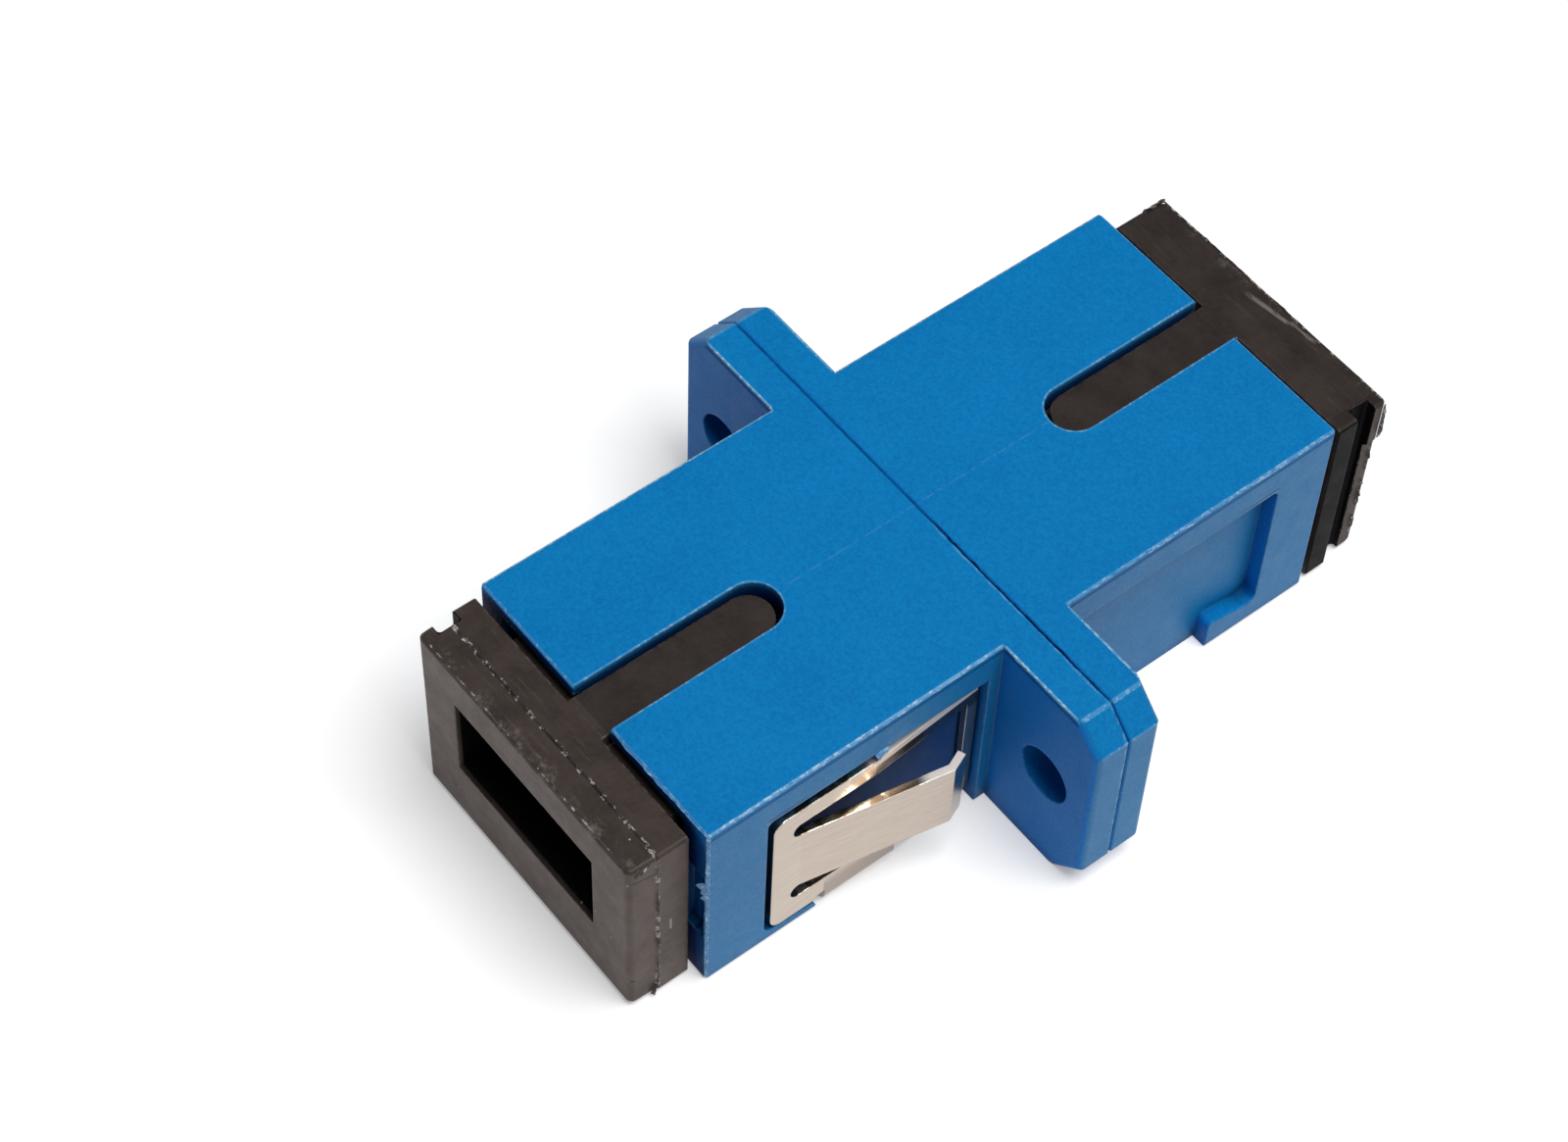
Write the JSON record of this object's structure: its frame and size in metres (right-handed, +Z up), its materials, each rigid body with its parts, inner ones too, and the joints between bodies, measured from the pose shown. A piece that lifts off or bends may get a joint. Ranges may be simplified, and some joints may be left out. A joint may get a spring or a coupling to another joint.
{
  "type": "sc fibre adapter",
  "caption": "Flanged simplex fibre adapter: welded two-part housing with key slots, latch inserts, split sleeve, spring clip and dust caps.",
  "frame": {"origin": "under the middle of the flange, on the plane that the adapter rests on", "axes": "+Y along the optical axis towards the rear mouth, -Y towards the front mouth with the clip, +Z up with the key slots on top, +X to the side"},
  "size_m": [0.0226, 0.0332, 0.0092],
  "materials": {
    "housing": "blue moulded polyester, fine satin texture",
    "insert": "blue moulded polyester, smooth",
    "ceramic": "polished white zirconia",
    "clip": "stamped stainless spring strip",
    "cap": "black soft plastic, satin"
  },
  "bodies": {
    "adapter": {"front_housing": "housing", "rear_housing": "housing", "front_latch_insert": "insert", "rear_latch_insert": "insert", "split_sleeve": "ceramic", "spring_clip": "clip"},
    "front_cap": {"front_dust_cap": "cap"},
    "rear_cap": {"rear_dust_cap": "cap"}
  },
  "joints": [
    {"name": "front_cap_slide", "type": "slide", "parent": "adapter", "child": "front_cap", "axis": [0, -1, 0], "range_m": [0, 0.02]},
    {"name": "rear_cap_slide", "type": "slide", "parent": "adapter", "child": "rear_cap", "axis": [0, 1, 0], "range_m": [0, 0.02]}
  ]
}
